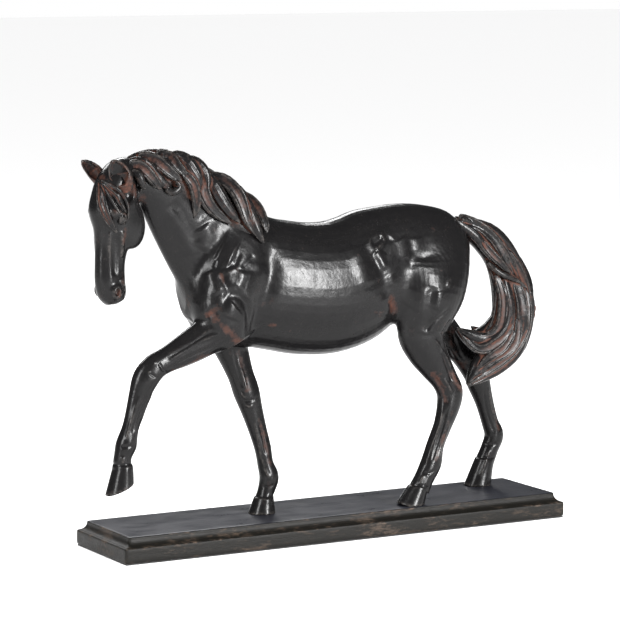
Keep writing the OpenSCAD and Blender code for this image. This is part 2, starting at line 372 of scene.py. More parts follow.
def split_by_label(points, quads, tris, labels, attributes, normals):
    """Splits one closed surface into closed pieces, one for each label of its faces."""
    out = {}
    quad_labels, tri_labels = labels
    for label in np.unique(np.concatenate([quad_labels, tri_labels])):
        q = quads[quad_labels == label]
        t = tris[tri_labels == label]
        edges = np.concatenate([
            q[:, [0, 1]], q[:, [1, 2]], q[:, [2, 3]], q[:, [3, 0]],
            t[:, [0, 1]], t[:, [1, 2]], t[:, [2, 0]],
        ])
        forward = set(map(tuple, edges.tolist()))
        open_edges = {b: a for a, b in forward if (b, a) not in forward}
        caps = []
        extra = []
        while open_edges:
            start, nxt = open_edges.popitem()
            loop = [start]
            while nxt != start and nxt in open_edges:
                loop.append(nxt)
                nxt = open_edges.pop(nxt)
            centre = len(points) + len(extra)
            extra.append(points[loop].mean(0))
            for i, v in enumerate(loop):
                caps.append((centre, v, loop[(i + 1) % len(loop)]))
        all_points = np.vstack([points] + ([np.array(extra)] if extra else []))
        t = np.vstack([t, np.array(caps, t.dtype)]) if caps else t
        used = np.unique(np.concatenate([q.ravel(), t.ravel()])).astype(int)
        remap = np.full(len(all_points), -1)
        remap[used] = np.arange(len(used))
        data = {}
        for key, values in attributes.items():
            padded = np.concatenate([values, np.zeros(len(extra))])
            data[key] = padded[used]
        padded = np.vstack([normals, np.zeros((len(extra), 3))])
        out[label] = {
            "points": all_points[used],
            "quads": remap[q.astype(int)],
            "tris": remap[t.astype(int)],
            "attributes": data,
            "normals": padded[used],
            "caps": len(caps),
        }
    return out


# ---------------------------------------------------------------- the horse's body
torso = [
    (-137, -1, 190, 16, 12, 8),
    (-131, -1, 190, 30, 23, 16),
    (-119, -1, 193, 42, 36, 24),
    (-100, -1, 196, 54, 46, 29.5),
    (-80, -1, 194, 61, 48, 31.5),
    (-55, -1, 190, 62, 49.5, 34.5),
    (-27, -1, 187, 61, 52.5, 37),
    (2, -1, 187, 61, 53.5, 38),
    (26, -1, 191, 61.5, 51, 36.5),
    (47, -1, 198, 61, 45, 33.5),
    (72, -1, 205, 55.5, 41, 30),
    (97, -1, 206, 51, 40, 28),
    (115, -1, 204, 46, 38, 26),
    (128, -1, 202, 36, 34, 19),
    (135, -1, 200, 20, 20, 10),
]
near_shoulder = [
    (-86, -12, 234, 16, 16, 10),
    (-98, -16, 212, 24, 24, 17),
    (-108, -18, 190, 28, 28, 20),
    (-108, -20, 168, 24, 24, 18),
    (-102, -20, 153, 16, 16, 13),
]
off_shoulder = [
    (-84, 10, 234, 16, 16, 10),
    (-94, 14, 212, 24, 24, 17),
    (-102, 16, 190, 28, 28, 20),
    (-97, 18, 165, 22, 22, 17),
    (-92, 17, 148, 15, 15, 12),
]
near_thigh = [
    (84, -9, 226, 24, 24, 13),
    (94, -13, 209, 36, 36, 20),
    (92, -19.5, 188, 35, 34, 22),
    (87, -22, 168, 29, 28, 20),
    (85, -22, 152, 22, 22, 16),
]
off_thigh = [
    (86, 10, 228, 24, 24, 13),
    (97, 14, 208, 36, 36, 20),
    (105, 17, 184, 33, 33, 22),
    (111, 19, 164, 26, 26, 18),
    (120, 20, 150, 18, 18, 14),
]
neck_line = [
    (-62, -1, 184, 20, 20, 14),
    (-74, -1, 196, 36, 32, 22),
    (-84, -1, 208, 44, 40, 27),
    (-98, -1, 226, 49, 44, 25),
    (-118, -3, 249, 46.5, 38, 18.5),
    (-138, -6, 267, 40, 31, 15.5),
    (-158, -10, 281, 31, 24, 13.5),
    (-175, -13, 289, 22, 19, 12.5),
    (-188, -15, 291, 16, 14, 11),
]
near_fore = [
    (-104, -20, 166, 15, 16, 12),
    (-118, -21, 161, 15, 17, 13),
    (-133, -21, 153, 13.5, 17, 11.5),
    (-148, -21, 146, 11.5, 15, 9.5),
    (-163, -21, 140, 9.5, 12.5, 8.2),
    (-173, -21, 135, 9.5, 13, 9),
    (-181, -21, 126, 9.5, 13.5, 9),
    (-187, -21, 113, 8, 11, 7.2),
    (-192, -21, 100, 7.2, 8.7, 6.4),
    (-197, -21, 87, 7.2, 7, 6.4),
    (-201, -21, 74, 9.8, 8.5, 7.8),
    (-204, -21, 64, 8, 7.5, 7),
    (-205, -21, 54, 8, 8, 7.5),
]
off_fore = [
    (-94, 16, 168, 18, 16, 12),
    (-92, 15, 155, 18.5, 15, 13),
    (-85, 13, 137, 16, 12.5, 11),
    (-79, 10, 119, 13, 10.5, 9),
    (-74, 8, 104, 12.5, 11, 9.5),
    (-70, 6, 88, 10.8, 8.8, 7.8),
    (-66, 4, 71, 9.8, 6.8, 6.4),
    (-62, 2, 55, 9, 6.2, 6),
    (-59, 1, 42, 7.4, 7, 6.6),
    (-56.5, 0, 30, 9.5, 8, 7.6),
    (-59, 0, 18, 7.5, 7.5, 7),
    (-61, -0.5, 11, 8.5, 8.5, 8.2),
]
near_hind = [
    (82, -22, 168, 18, 21, 12),
    (83, -23, 150, 20, 24, 14.5),
    (88, -24, 135, 16.5, 21, 13),
    (96, -25, 120, 14, 16.5, 10.5),
    (104, -26, 106, 12.5, 12.5, 8.5),
    (109, -26, 95, 12.5, 12.5, 9),
    (107, -27, 83, 11, 11, 8.5),
    (100.5, -28, 67, 9, 8.2, 7),
    (93, -28, 50, 8.6, 7.8, 6.8),
    (88, -29, 35, 10.5, 9, 8),
    (81, -30, 22, 9, 9, 7.8),
    (76, -30, 13, 9.5, 9.5, 8.8),
]
off_hind = [
    (110, 19, 164, 17, 17, 12),
    (121, 20, 151, 16.5, 16.5, 13),
    (136, 21, 137, 14, 14, 11),
    (151, 21, 121, 12, 12, 9.5),
    (165, 22, 104, 12, 12.5, 8.5),
    (169, 22, 93, 11, 11.5, 8.8),
    (175, 22, 75, 8.8, 8.6, 7),
    (181, 22, 56, 8.2, 7.8, 6.6),
    (185, 22, 44, 9.8, 8.6, 7.8),
    (181, 22, 32, 8.4, 8.4, 7.4),
    (175, 22, 19, 9, 9, 8.2),
]


# Muscles, folds and tendons: a path, how wide, and how far it raises the skin (or sinks it).
# Those of the body are (x, z) and lie on both sides of the horse. A scratch script wrote out
# both lists from points picked by eye on the photo, and some rows were then changed by hand.
body_width = 2.0
body_depth = 0.8
body_marks = [
    ([(-108, 243), (-119, 235), (-127, 226), (-131, 218), (-134, 206), (-134, 194),
      (-130, 183)], 3.2, -1.6),
    ([(-129, 252), (-125, 242), (-130, 231)], 4.5, 2),
    ([(-161, 269), (-150, 256), (-141, 242), (-135, 227)], 3.5, 1.5),
    ([(-146, 282), (-136, 266), (-128, 258)], 2.5, -0.7),
    ([(-116, 233), (-109, 229), (-104, 226)], 6, 2.0),
    ([(-122, 216), (-119, 223)], 0.6, -0.7),
    ([(-117, 212), (-111, 213), (-104, 216)], 1.0, 0.7),
    ([(-118, 214), (-112, 217), (-105, 219), (-102, 224), (-98, 229)], 1.2, -0.9),
    ([(-100, 216), (-92, 221), (-86, 226)], 1.2, -0.5),
    ([(-118, 212), (-116, 205), (-113, 199), (-110, 195)], 1.6, -1.1),
    ([(-126, 214), (-124, 205), (-120, 196)], 2.4, 1.5),
    ([(-99, 214), (-101, 206), (-105, 199)], 2.2, 0.9),
    ([(-120, 184), (-116, 190), (-113, 194), (-105, 193), (-99, 188), (-95, 181),
      (-93, 169), (-94, 157)], 2, -2.2),
    ([(-114, 175), (-111, 181), (-107, 185)], 4.5, 1.4),
    ([(-92, 213), (-93, 200), (-96, 188)], 3.6, 1.3),
    ([(-81, 220), (-81, 205), (-84, 190)], 3.5, 1),
    ([(-70, 235), (-71, 221), (-72, 209), (-76, 197), (-79, 185), (-82, 172),
      (-84, 162)], 4.2, -2.6),
    ([(-86, 155), (-81, 161), (-75, 164), (-69, 164)], 1.5, -1.3),
    ([(-130, 177), (-126, 180), (-122, 183)], 1.6, -1.2),
    ([(-158, 273), (-149, 261), (-140, 246), (-131, 231)], 3, -1.6),
    ([(24, 233), (33, 235), (43, 237)], 2, 1.1),
    ([(31, 224), (37, 228), (43, 234)], 1.2, 1.0),
    ([(24, 232), (27, 227), (31, 223)], 1.8, 0.8),
    ([(31, 223), (35, 216), (39, 207)], 2, 1.4),
    ([(28, 229), (34, 231), (40, 234)], 1.5, -1.1),
    ([(38, 221), (42, 227), (49, 234)], 2, -0.9),
    ([(25, 221), (31, 213), (35, 202), (37, 191), (40, 182)], 3.6, -1.8),
    ([(12, 229), (13, 215), (16, 203), (19, 194)], 4, 1.2),
    ([(58, 233), (61, 226), (62, 214)], 3.5, 0.9),
    ([(74, 233), (74, 226), (73, 220)], 3.5, 0.8),
    ([(67, 231), (66, 218), (65, 205)], 2.5, -0.6),
    ([(83, 191), (81, 183), (80, 174), (79, 162), (76, 151)], 2.6, -1.6),
    ([(88, 187), (88, 179), (85, 170)], 3.6, 1),
    ([(70, 191), (68, 180), (65, 172)], 5, 0.8),
    ([(100, 172), (89, 164), (82, 159), (77, 151)], 1.1, -1.1),
    ([(104, 161), (99, 154), (94, 148)], 1.1, -1.1),
    ([(45, 181), (48, 175), (52, 168)], 2, -1.4),
    ([(29, 170), (37, 171), (45, 168)], 1.2, 0.9),
    ([(102, 197), (99, 194), (97, 189)], 0.9, 0.8),
    ([(43, 203), (45, 198), (46, 192)], 2.4, 0.8),
]
leg_marks = [
    ([(-170, -27, 144), (-150, -28, 154), (-136, -30, 161), (-126, -34, 168)], 1.6, 0.9),
    ([(-165, -29, 142), (-152, -29, 149), (-137, -31, 157), (-120, -36, 162)], 1.5, 0.8),
    ([(-164, -28, 145), (-150, -29, 151), (-137, -31, 159), (-128, -33, 164)], 1, -0.8),
    ([(-162, -29, 137), (-147, -30, 144), (-127, -32, 151), (-116, -35, 156)], 1.4, -0.9),
    ([(-161, -26, 133), (-144, -28, 139), (-125, -29, 146)], 1.3, 0.6),
    ([(-174, -29, 141), (-171, -30, 135), (-163, -24, 131)], 1.2, -1),
    ([(-184, -25, 138), (-182, -29, 132), (-177, -30, 129)], 1.1, -0.9),
    ([(-178, -27, 141), (-177, -28, 140)], 1.5, 0.9),
    ([(-183, -28, 135), (-183, -29, 132)], 1.3, 0.9),
    ([(-191, -27, 114), (-196, -26, 101), (-201, -27, 87), (-204, -28, 78)], 1.1, 0.9),
    ([(-185, -28, 115), (-190, -27, 104), (-195, -27, 92), (-198, -28, 83)], 1.2, -1),
    ([(-178, -26, 116), (-185, -25, 101), (-192, -25, 78)], 1.3, 0.8),
    ([(-208, -26, 73), (-203, -29, 73), (-196, -28, 74)], 1.2, -0.9),
    ([(-207, -27, 65), (-207, -29, 59)], 1.4, 0.7),
    ([(-89, 2, 144), (-86, 2, 129), (-82, 1, 116), (-81, 0, 110)], 1.1, -0.9),
    ([(-85, 2, 134), (-80, 1, 119), (-78, -1, 106)], 1.2, 0.8),
    ([(-82, 1, 105), (-78, 0, 100)], 1.2, 0.9),
    ([(-78, 1, 95), (-76, -1, 93), (-72, -2, 93)], 1.1, 0.8),
    ([(-80, 1, 98), (-75, -1, 98), (-70, -1, 99)], 1.1, -0.8),
    ([(-71, -1, 81), (-67, -2, 63), (-65, -3, 48), (-61, -5, 38)], 1.1, 0.9),
    ([(-67, -2, 80), (-63, -2, 65), (-61, -4, 50)], 1.1, -1),
    ([(-63, -5, 40), (-61, -6, 34), (-58, -7, 31)], 1.3, 0.8),
    ([(-64, -4, 24), (-60, -7, 23), (-55, -7, 25)], 1, -0.7),
    ([(94, -36, 139), (98, -35, 126), (103, -34, 115), (106, -34, 105)], 1.8, -1.4),
    ([(86, -38, 145), (97, -35, 132), (105, -33, 119), (110, -33, 109)], 1.2, 1),
    ([(131, 14, 128), (139, 18, 117)], 1.6, -1.4),
    ([(106, -34, 112), (111, -34, 105), (118, -32, 97)], 1.2, 0.9),
    ([(89, -32, 112), (96, -32, 103), (101, -33, 94), (101, -34, 86)], 1.3, -1.1),
    ([(98, -34, 109), (103, -34, 102), (106, -35, 95)], 1.3, 1),
    ([(98, -32, 85), (96, -33, 71), (90, -33, 57), (83, -33, 40), (80, -35, 34)], 1.1, 0.9),
    ([(101, -34, 81), (97, -34, 66), (91, -35, 51), (85, -36, 37)], 1.1, -1),
    ([(105, -35, 74), (99, -34, 56), (90, -37, 36)], 1.2, 0.8),
    ([(77, -35, 29), (82, -37, 27), (90, -37, 31)], 1.1, -0.8),
    ([(77, -36, 26), (72, -37, 19)], 1.3, 0.8),
    ([(62, -24, 151), (65, -28, 144), (71, -32, 138)], 1.4, 0.8),
    ([(174, 14, 89), (178, 15, 73), (183, 16, 58), (185, 15, 48)], 1.2, 0.8),
    ([(169, 14, 89), (173, 16, 71), (178, 16, 56), (182, 15, 47)], 1.1, -0.9),
    ([(177, 15, 32), (171, 13, 21), (165, 13, 8)], 1.6, 0.9),
    ([(174, 20, 37), (178, 16, 36), (184, 14, 38)], 1.2, -0.8),
    ([(131, 9, 147), (138, 11, 130), (148, 13, 114)], 2, -1.2),
]


def hoof(clay, top, sole):
    """A hoof from the coronet down to a flat sole."""
    x, y, z = top
    sx, sy, sz = sole
    rows = [
        (x, y, z + 1.5, 6.0, 6.0, 6.0),
        (x, y, z - 0.5, 8.0, 8.4, 8.2),
        (x + 0.15 * (sx - x), y, z + 0.15 * (sz - z), 8.8, 9.2, 9.0),
        (x + 0.5 * (sx - x), y, z + 0.5 * (sz - z), 9.8, 11.2, 10.0),
        (sx, sy, sz, 11.0, 14.0, 11.6),
    ]
    clay.loft(rows, blend=1.2)
    ring = []
    for turn in range(0, 361, 30):
        a = math.radians(turn)
        ring.append((x + 8.6 * math.cos(a), y + 8.6 * math.sin(a), z + 1.2))
    clay.stroke(ring, 0.9, -0.7, steps=1, taper=False)


def sculpt_skin(clay):
    clay.loft(torso, blend=0)
    for form in (near_shoulder, off_shoulder):
        clay.loft(form, blend=14)
    for form in (near_thigh, off_thigh, neck_line):
        clay.loft(form, blend=16)
    for side in (-1, 1):
        # the breast
        clay.ball((-121.5, side * 7, 200), (17, 17, 22), 9)
    for form in (near_fore, off_fore, near_hind, off_hind):
        clay.loft(form, blend=7)
    hoof(clay, (-203.5, -21, 57), (-205.5, -21, 31))
    hoof(clay, (-61, -0.5, 14), (-62.5, -1, -3))
    hoof(clay, (75.5, -30, 16), (67.5, -30, -3))
    hoof(clay, (176, 22, 24), (169, 22, -3))
    # the raised hoof's slanting sole, and the deck under the other three
    cut_below(clay, (-222, -38, 20), (-186, -4, 60), (-204, 38), 0.42)
    cut_below(clay, (-240, -60, -30), (240, 60, 1), (0, 0), 0)
    # every stroke is laid on the plain skin before the first one changes it
    strokes = [
        (clay.on_skin(path, side), body_width * width, body_depth * height)
        for path, width, height in body_marks
        for side in (-1, 1)
    ]
    for path, width, height in strokes:
        clay.stroke(path, width, height, steps=3)
    for path, width, height in leg_marks:
        clay.stroke(path, width, height, steps=2)


def cut_below(clay, low, high, through, slope):
    """Removes what is under the plane through (x, z) that rises by slope along x."""
    part, x, y, z = clay.window(low, high)
    depth = (through[1] + slope * (x - through[0]) - z) / math.hypot(1, slope) + 0 * y
    clay.f[part] = np.maximum(clay.f[part], depth.astype(np.float32))


head_turn = math.radians(18)
head_side = (-math.sin(head_turn), math.cos(head_turn), 0)
skull = [
    (-190, -14, 302, 9, 10, 10),
    (-200, -15, 295, 15, 16, 14),
    (-206, -16, 283, 19, 20, 16),
    (-207, -16, 268, 19, 22.5, 15.5),
    (-207, -16.5, 253, 17, 21, 13),
    (-209, -17, 238, 13, 18, 10.5),
    (-211, -18, 224, 11.5, 16.5, 9.4),
    (-211.5, -18.5, 210, 11.5, 16, 10),
    (-210, -18.5, 200, 10.5, 14.5, 10.2),
    (-208, -18.5, 193, 7, 9.5, 7.5),
]


def on_head(near, ahead, z):
    """A point of the head: millimetres to its near side, ahead of its axis, and height."""
    return (
        -207 + near * math.sin(head_turn) - ahead * math.cos(head_turn),
        -16 - near * math.cos(head_turn) - ahead * math.sin(head_turn),
        z,
    )


def head_axes(tilt=0.0):
    """The head's own axes: to the near side, ahead and up, tipped about the first."""
    near = np.array([math.sin(head_turn), -math.cos(head_turn), 0])
    ahead = np.array([-math.cos(head_turn), -math.sin(head_turn), 0])
    up = np.array([0, 0, 1.0])
    c = math.cos(math.radians(tilt))
    s = math.sin(math.radians(tilt))
    return np.array([near, c * ahead + s * up, c * up - s * ahead])


def sculpt_head(clay):
    clay.loft(skull, blend=7, across=head_side, power=2.2)
    axes = head_axes()
    for side in (1, -1):
        clay.ball(on_head(side * 8.5, -8, 257), (6.5, 16.5, 22), 5, head_axes(-18))
        # brow, eye socket, eyeball and lids
        clay.ball(on_head(side * 12, 8, 267), (5.5, 9, 6), 4, axes)
        clay.ball(on_head(side * 17.5, 6.8, 261), (3.2, 5.4, 4.2), 1.5, head_axes(-12), carve=True)
        clay.ball(on_head(side * 14.6, 6.2, 261.2), (4.5, 4.3, 3.9), 0.4, axes)
        clay.stroke([on_head(side * 16.6, 11.5, 260), on_head(side * 19, 7, 266),
                     on_head(side * 16.6, 1, 262)], 1.3, 1.4)
        clay.stroke([on_head(side * 16.0, 11.5, 258.5), on_head(side * 17.4, 6.5, 256.2),
                     on_head(side * 16.2, 1.5, 259.5)], 1.2, 1.0)
        clay.stroke([on_head(side * 15.6, 11, 254), on_head(side * 16, 5.5, 252)], 1.2, -0.9)
        clay.stroke([on_head(side * 15.2, 12, 251), on_head(side * 15.8, 6, 248.5)], 1.1, 0.7)
        clay.ball(on_head(side * 14.5, -1, 281), (3.5, 6, 6), 5, axes, carve=True)
        # facial crest and the edge of the nose
        clay.stroke([on_head(side * 14, 5, 252), on_head(side * 12, 3, 240),
                     on_head(side * 10.5, 3, 229)], 2.2, 1.4)
        clay.stroke([on_head(side * 10.5, 15, 252), on_head(side * 8.5, 14.5, 238),
                     on_head(side * 7.5, 13.5, 222), on_head(side * 8, 13, 209)], 1.7, 1.3)
        clay.stroke([on_head(side * 12, 9.5, 247), on_head(side * 10.5, 9, 234),
                     on_head(side * 9.5, 9.5, 214)], 2.6, -1.5)
        # nostril with its raised wing, and the mouth
        clay.ball(on_head(side * 9.5, 8.5, 202), (4, 5.2, 6.2), 3, axes)
        clay.ball(on_head(side * 12.6, 9, 201.5), (2.6, 2.2, 3.6), 1.0, head_axes(20), carve=True)
        clay.stroke([on_head(side * 4, 11, 193.5), on_head(side * 9.6, 6, 195.5),
                     on_head(side * 10.6, 0, 200), on_head(side * 10, -3, 204)], 1.1, -1.2)
        clay.stroke([on_head(side * 10.4, 4, 212), on_head(side * 11, 0, 206)], 2.5, 0.9)
    clay.ball(on_head(0, 3, 196), (8.5, 7.5, 6), 4, axes)
    clay.ball(on_head(0, -3.5, 199), (7, 6, 6.5), 3, axes)
    clay.ball(on_head(-1, 11, 269), (10, 12.5, 13), 8, axes)


def distance_to(points, path):
    """How far each point is from a smooth path."""
    rows = polyline(path, 3)
    best = np.full(len(points), 1e9)
    for a, b in zip(rows[:-1], rows[1:]):
        ab = b - a
        t = np.clip((points - a) @ ab / max(ab @ ab, 1e-9), 0, 1)
        gap = points - a - t[:, None] * ab
        best = np.minimum(best, (gap * gap).sum(1))
    return np.sqrt(best)


# where the reddish brown shows through the black: path, width, strength
rust_paths = [
    ([(-76, -36, 194), (-80, -36, 178), (-83, -34, 163)], 4, 0.85),
    ([(-80, -32, 160), (-72, -30, 164), (-66, -30, 164)], 3, 0.7),
    ([(-130, -30, 178), (-125, -31, 181), (-119, -32, 184)], 3.5, 0.95),
    ([(-124, -32, 177), (-117, -35, 168), (-107, -34, 158), (-99, -32, 153)], 4, 0.8),
    ([(-160, -26, 133), (-142, -28, 139), (-124, -29, 146)], 2.5, 0.6),
    ([(-118, -32, 211), (-116, -32, 206)], 2.5, 0.9),
    ([(46, -32, 180), (49, -31, 174), (52, -30, 168)], 5, 0.9),
    ([(29, -34, 171), (38, -34, 171)], 3, 0.5),
    ([(101, -30, 173), (89, -34, 164), (80, -34, 156)], 2.5, 0.8),
    ([(105, -28, 162), (100, -30, 155), (94, -32, 148)], 3.5, 0.9),
    ([(88, -33, 113), (96, -33, 102), (101, -34, 88)], 3, 0.85),
    ([(105, -33, 115), (112, -33, 104), (117, -31, 96)], 3, 0.9),
    ([(106, -34, 80), (99, -34, 60), (89, -36, 38)], 2.2, 0.7),
    ([(132, 10, 140), (139, 14, 120), (148, 14, 112)], 6, 0.55),
    ([(178, 14, 85), (183, 15, 66), (186, 15, 50)], 2.5, 0.7),
    ([(-84, 2, 140), (-79, 0, 120), (-76, 0, 108)], 3, 0.5),
    ([(-66, -2, 82), (-61, -3, 60), (-58, -5, 42)], 2, 0.55),
    ([(-217, -33, 268), (-210, -37, 269), (-203, -36, 265)], 2.5, 0.8),
    ([(-216, -33, 257), (-209, -36, 252), (-202, -35, 255)], 3.5, 0.95),
    ([(-197, -28, 286), (-193, -30, 280)], 5, 0.95),
    ([(-185, -24, 278), (-181, -22, 270)], 4, 0.6),
    ([(-211, -30, 203), (-210, -30, 199), (-206, -29, 195)], 2.5, 0.8),
    ([(-200, -27, 236), (-203, -28, 222), (-205, -28, 208)], 3, 0.55),
    ([(-137, -12, 200), (-138, -12, 184)], 6, 0.45),
    ([(-184, -28, 253), (-188, -28, 243), (-194, -28, 236), (-200, -28, 231)], 2.5, 0.7),
    ([(-204, -32, 252), (-204, -31, 244), (-202, -29, 238)], 3, 0.8),
    ([(-220, -20, 295), (-214, -24, 292), (-205, -26, 290)], 3.5, 0.9),
]


def rust_weight(points):
    """How strongly the brown shows at each point, 0 to 1."""
    out = np.zeros(len(points))
    for path, width, strength in rust_paths:
        out = np.maximum(out, strength * np.exp(-((distance_to(points, path) / width) ** 2)))
    return out


def make_skin():
    """Sculpts the horse without its hair and ears, and cuts it into its castings."""
    clay = Clay((-236, -46, -2), (206, 44, 318), skin_step, band=16)
    sculpt_skin(clay)
    sculpt_head(clay)
    points, tris, quads = clay.surface()
    cavity = clay.hollows(points, 2.4)
    centre_q = points[quads].mean(1)
    centre_t = points[tris].mean(1) if len(tris) else np.zeros((0, 3))
    labels = (label_skin(centre_q), label_skin(centre_t))
    data = {"hollow": cavity, "rust": rust_weight(points)}
    parts = split_by_label(points, quads, tris, labels, data, clay.normals(points))
    return clay, parts


def label_skin(p):
    """Which casting each point of the skin belongs to; every cut is a plane."""
    x, y, z = p.T
    out = np.full(len(p), "body", dtype="<U16")
    out[(x + 0.75 * z < 92) & (z > 200)] = "neck"
    out[(z > 215 - 0.2 * (x + 200)) & (x - 0.35 * z < -287)] = "head"
    out[(x < -182) & (z > 185)] = "head"
    out[(x + 0.5 * z < -44) & (z < 190) & (y < -4)] = "near_fore_leg"
    out[(z < 148) & (x > -125) & (x < -30)] = "off_fore_leg"
    out[(z < 148) & (x > 20) & (y < -3)] = "near_hind_leg"
    out[(0.7 * x - z < -1000)] = "body"
    out[(z < 40 + 0.95 * x) & (z < 150) & (x > 20) & (y >= -3)] = "off_hind_leg"
    return out


# ---------------------------------------------------------------- hair
def lock(clay, path, width, thick=3.2, hollow=1.0, out=(0, -1, 0), blend=0.8):
    """One lock of hair: a tapering strand, either full and round or hollow between its rims."""
    rows = polyline(path, 3)
    t = np.linspace(0, 1, len(rows))
    wide = width * np.interp(t, [0, 0.12, 0.45, 0.8, 1], [0.5, 0.85, 1, 0.7, 0.12])
    deep = thick * np.interp(t, [0, 0.15, 0.5, 0.85, 1], [0.6, 0.9, 1, 0.8, 0.3])
    stations = np.column_stack([rows, wide, wide, deep])
    clay.loft(stations, blend=blend, steps=1, sides=20, power=1.8, across=out)
    ahead = np.gradient(rows, axis=0)
    ahead /= np.linalg.norm(ahead, axis=1)[:, None]
    face = np.array(out, float)[None, :] - ahead * (ahead @ np.array(out, float))[:, None]
    face /= np.linalg.norm(face, axis=1)[:, None]
    beside = np.cross(ahead, face)
    if hollow > 0:
        top = rows + face * (0.9 * deep)[:, None] + beside * (0.1 * width)
        clay.stroke(top, 0.5 * width, -1.3 * hollow, steps=1)
        rims = ((-1, 0.8, 1.1), (1, 0.8, 0.8))
    else:
        rims = ((-0.5, 0.7, 0.45), (0.35, 0.7, 0.4))
    for side, wide_rim, high in rims:
        rim = rows + face * (0.62 * deep)[:, None] + beside * (side * 0.72 * wide)[:, None]
        clay.stroke(rim, wide_rim, high, steps=1)
    for side in (-0.45, 0.1, 0.6):
        line = rows + face * (0.8 * deep)[:, None] + beside * (side * 0.6 * wide)[:, None]
        clay.stroke(line, 0.6, -0.3, steps=1)


def settle(path, lift):
    """Moves the points of a path onto the skin, and lift outside it."""
    rows = np.array(path, float)
    for _ in range(4):
        slope = skin.normals(rows)
        rows = rows - slope * np.clip(skin.sample(rows) - lift, -4, 4)[:, None]
    return [tuple(row) for row in rows]


def hair_piece(clay, reach=1.8):
    """What build_object needs to make a whole block of clay into one piece."""
    points, tris, quads = clay.surface()
    data = {"hollow": clay.hollows(points, reach), "rust": np.full(len(points), 0.25)}
    return {
        "points": points,
        "quads": quads,
        "tris": tris,
        "attributes": data,
        "normals": clay.normals(points),
    }


mane_core = [
    (-196, -16, 299, 8, 8, 7),
    (-182, -16, 296, 12, 12, 8),
    (-163, -15, 292, 18, 18, 9),
    (-144, -13, 286, 20, 20, 10),
    (-126, -11, 276, 20, 20, 10.5),
    (-108, -10, 263, 17, 17, 11),
    (-93, -13, 250, 13, 13, 11),
    (-82, -17, 240, 8, 8, 8),
]
mane_locks = [
    ([(-198, -18, 306), (-181, -13, 310), (-161, -10, 311), (-143, -9, 308)], 5.5),
    ([(-148, -9, 310), (-129, -9, 299), (-113, -9, 290), (-98, -9, 281), (-84, -10, 268)], 5.5),
    ([(-197, -26, 300), (-192, -29, 297), (-189, -30, 291), (-186, -29, 284)], 4),
    ([(-197, -23, 305), (-189, -26, 304), (-182, -28, 297), (-175, -28, 289), (-170, -26, 284)], 5.5),
    ([(-196, -20, 307), (-184, -25, 306), (-176, -26, 297), (-168, -27, 289), (-161, -26, 283)], 5),
    ([(-186, -17, 311), (-175, -22, 309), (-167, -25, 302), (-159, -27, 295), (-151, -27, 290)], 6),
    ([(-165, -26, 285), (-160, -28, 281), (-154, -28, 285), (-157, -28, 291)], 3.4),
    ([(-168, -14, 312), (-160, -20, 310), (-153, -24, 301), (-146, -26, 294)], 6),
    ([(-153, -13, 311), (-145, -21, 307), (-139, -24, 298), (-134, -25, 289), (-132, -24, 279)], 6.5),
    ([(-149, -24, 297), (-142, -26, 289), (-138, -25, 280), (-136, -23, 269), (-137, -21, 258)], 5),
    ([(-142, -13, 307), (-134, -19, 304), (-128, -22, 296), (-126, -23, 287), (-128, -23, 277)], 5.5),
    ([(-128, -19, 297), (-130, -23, 285), (-127, -24, 273), (-118, -24, 262), (-104, -25, 252)], 6.5),
    ([(-126, -16, 296), (-119, -22, 285), (-112, -25, 272), (-105, -26, 262), (-97, -26, 253)], 6),
    ([(-118, -14, 293), (-106, -20, 287), (-98, -24, 277), (-94, -26, 266), (-90, -28, 254),
      (-78, -29, 236)], 6.5),
    ([(-106, -11, 286), (-94, -17, 279), (-88, -23, 267), (-85, -27, 256), (-81, -29, 245),
      (-76, -29, 235)], 5.5),
    ([(-92, -9, 276), (-82, -14, 271), (-76, -20, 262), (-73, -25, 251), (-72, -27, 243)], 5.5),
]
tail_core = [
    (128, -2, 233, 7, 7, 7),
    (138, -2, 235, 8.5, 8.5, 8.5),
    (147, -3, 231, 10, 10, 9.5),
    (158, -4, 222, 11, 11, 10),
    (169, -5, 208, 11.5, 11.5, 10.5),
    (178, -6, 190, 14, 15, 11),
    (183, -7, 168, 17, 18, 11),
    (181, -8, 148, 17, 17, 11),
    (173, -9, 131, 17, 16, 10.5),
    (161, -10, 120, 15, 14, 9),
    (150, -11, 112, 11, 11, 7.5),
    (142, -12, 105, 6, 7, 5),
    (135, -14, 98, 2, 2, 2),
]
tail_point = [
    (178, -8, 152, 14, 14, 10),
    (163, -8, 141, 12, 12, 9),
    (148, -7, 137, 10, 9, 7),
    (137, -6, 141, 6, 6, 5),
    (128, -5, 147, 2, 2, 2),
]
